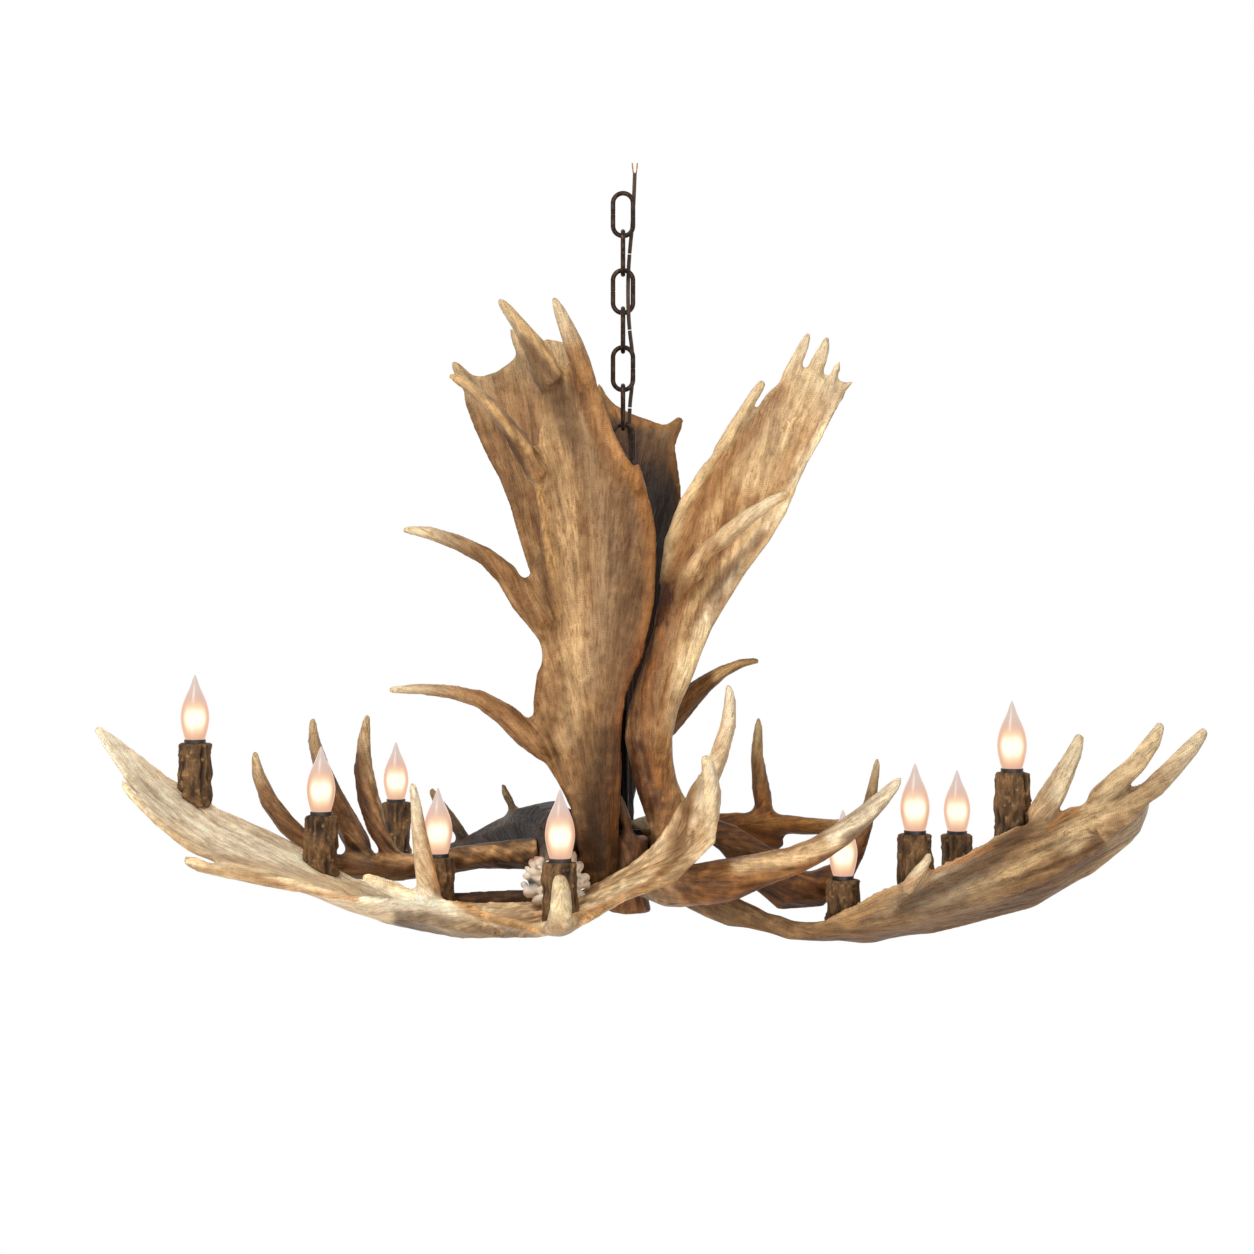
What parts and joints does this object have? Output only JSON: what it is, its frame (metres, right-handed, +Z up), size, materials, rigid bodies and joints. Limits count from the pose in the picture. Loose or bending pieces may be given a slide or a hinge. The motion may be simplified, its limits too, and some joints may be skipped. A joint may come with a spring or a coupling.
{
  "type": "chandelier",
  "caption": "Antler chandelier: upright and spreading palmed antlers round a central stem, hung on a link chain, with candle-style lights in bark cups.",
  "frame": {"origin": "inner top of the first chain link, where the ceiling hook bears", "axes": "+Z up along the chain, +X to the right and -Y to the front"},
  "size_m": [1.2022, 0.6239, 0.8581],
  "materials": {
    "chain_metal": "satin dark bronze",
    "hub_metal": "satin dark bronze",
    "cord_brown": "matt",
    "antler_cream": "satin",
    "antler_tan": "satin",
    "antler_brown": "satin",
    "antler_dark": "satin",
    "burr_cream": "satin",
    "bark_cup": "matt",
    "holder_black": "matt",
    "bulb_glass": "frosted",
    "bulb_brass": "satin"
  },
  "bodies": {
    "link_1": {"chain_link_1": "chain_metal"},
    "link_2": {"chain_link_2": "chain_metal"},
    "link_3": {"chain_link_3": "chain_metal"},
    "link_4": {"chain_link_4": "chain_metal"},
    "link_5": {"chain_link_5": "chain_metal"},
    "link_6": {"chain_link_6": "chain_metal"},
    "link_7": {"chain_link_7": "chain_metal"},
    "fixture": {"supply_cord": "cord_brown", "stem_loop": "chain_metal", "centre_stem": "hub_metal", "hub_plate_lower": "hub_metal", "hub_plate_upper": "hub_metal", "lock_nuts": "hub_metal", "hub_screws": "hub_metal", "lower_front_left": "antler_cream", "upright_front_left": "antler_tan", "upright_right": "antler_tan", "lower_front_right": "antler_tan", "burr_rosette": "burr_cream", "hub_base": "antler_dark", "rear_left": "antler_dark", "left_forked": "antler_brown", "lower_right": "antler_tan", "front_low_beam": "antler_dark", "lower_right_back": "antler_brown", "rear_right": "antler_brown", "upright_rear_left": "antler_brown", "upright_rear": "antler_dark", "rear_low_palm": "antler_tan", "lampholders": "holder_black", "nipples": "hub_metal", "cup_far_left": "bark_cup", "cup_left": "bark_cup", "cup_rear_left": "bark_cup", "cup_left_centre": "bark_cup", "cup_front": "bark_cup", "cup_right_low": "bark_cup", "cup_right_centre": "bark_cup", "cup_right_back": "bark_cup", "cup_far_right": "bark_cup"},
    "bulb_far_left": {"bulb_glass_far_left": "bulb_glass", "bulb_base_far_left": "bulb_brass"},
    "bulb_left": {"bulb_glass_left": "bulb_glass", "bulb_base_left": "bulb_brass"},
    "bulb_rear_left": {"bulb_glass_rear_left": "bulb_glass", "bulb_base_rear_left": "bulb_brass"},
    "bulb_left_centre": {"bulb_glass_left_centre": "bulb_glass", "bulb_base_left_centre": "bulb_brass"},
    "bulb_front": {"bulb_glass_front": "bulb_glass", "bulb_base_front": "bulb_brass"},
    "bulb_right_low": {"bulb_glass_right_low": "bulb_glass", "bulb_base_right_low": "bulb_brass"},
    "bulb_right_centre": {"bulb_glass_right_centre": "bulb_glass", "bulb_base_right_centre": "bulb_brass"},
    "bulb_right_back": {"bulb_glass_right_back": "bulb_glass", "bulb_base_right_back": "bulb_brass"},
    "bulb_far_right": {"bulb_glass_far_right": "bulb_glass", "bulb_base_far_right": "bulb_brass"}
  },
  "joints": [
    {"name": "link_2_swing", "type": "hinge", "parent": "link_1", "child": "link_2", "pos_m": [0, 0, -0.04483], "axis": [1, 0, 0], "range_deg": [-10, 10], "deforming": ["supply_cord"]},
    {"name": "link_3_swing", "type": "hinge", "parent": "link_2", "child": "link_3", "pos_m": [0, 0, -0.08721], "axis": [0, 1, 0], "range_deg": [-10, 10], "deforming": ["supply_cord"]},
    {"name": "link_4_swing", "type": "hinge", "parent": "link_3", "child": "link_4", "pos_m": [0, 0, -0.12957], "axis": [1, 0, 0], "range_deg": [-10, 10], "deforming": ["supply_cord"]},
    {"name": "link_5_swing", "type": "hinge", "parent": "link_4", "child": "link_5", "pos_m": [0, 0, -0.17194], "axis": [0, 1, 0], "range_deg": [-10, 10], "deforming": ["supply_cord"]},
    {"name": "link_6_swing", "type": "hinge", "parent": "link_5", "child": "link_6", "pos_m": [0, 0, -0.21431], "axis": [1, 0, 0], "range_deg": [-10, 10], "deforming": ["supply_cord"]},
    {"name": "link_7_swing", "type": "hinge", "parent": "link_6", "child": "link_7", "pos_m": [0, 0, -0.25668], "axis": [0, 1, 0], "range_deg": [-10, 10], "deforming": ["supply_cord"]},
    {"name": "fixture_swing", "type": "hinge", "parent": "link_7", "child": "fixture", "pos_m": [0, 0, -0.29905], "axis": [1, 0, 0], "range_deg": [-10, 10], "deforming": ["supply_cord"]},
    {"name": "bulb_far_left_out", "type": "slide", "parent": "fixture", "child": "bulb_far_left", "axis": [0, 0, 1], "range_m": [0, 0.035]},
    {"name": "bulb_left_out", "type": "slide", "parent": "fixture", "child": "bulb_left", "axis": [0, 0, 1], "range_m": [0, 0.035]},
    {"name": "bulb_rear_left_out", "type": "slide", "parent": "fixture", "child": "bulb_rear_left", "axis": [0, 0, 1], "range_m": [0, 0.035]},
    {"name": "bulb_left_centre_out", "type": "slide", "parent": "fixture", "child": "bulb_left_centre", "axis": [0, 0, 1], "range_m": [0, 0.035]},
    {"name": "bulb_front_out", "type": "slide", "parent": "fixture", "child": "bulb_front", "axis": [0, 0, 1], "range_m": [0, 0.035]},
    {"name": "bulb_right_low_out", "type": "slide", "parent": "fixture", "child": "bulb_right_low", "axis": [0, 0, 1], "range_m": [0, 0.035]},
    {"name": "bulb_right_centre_out", "type": "slide", "parent": "fixture", "child": "bulb_right_centre", "axis": [0, 0, 1], "range_m": [0, 0.035]},
    {"name": "bulb_right_back_out", "type": "slide", "parent": "fixture", "child": "bulb_right_back", "axis": [0, 0, 1], "range_m": [0, 0.035]},
    {"name": "bulb_far_right_out", "type": "slide", "parent": "fixture", "child": "bulb_far_right", "axis": [0, 0, 1], "range_m": [0, 0.035]}
  ]
}
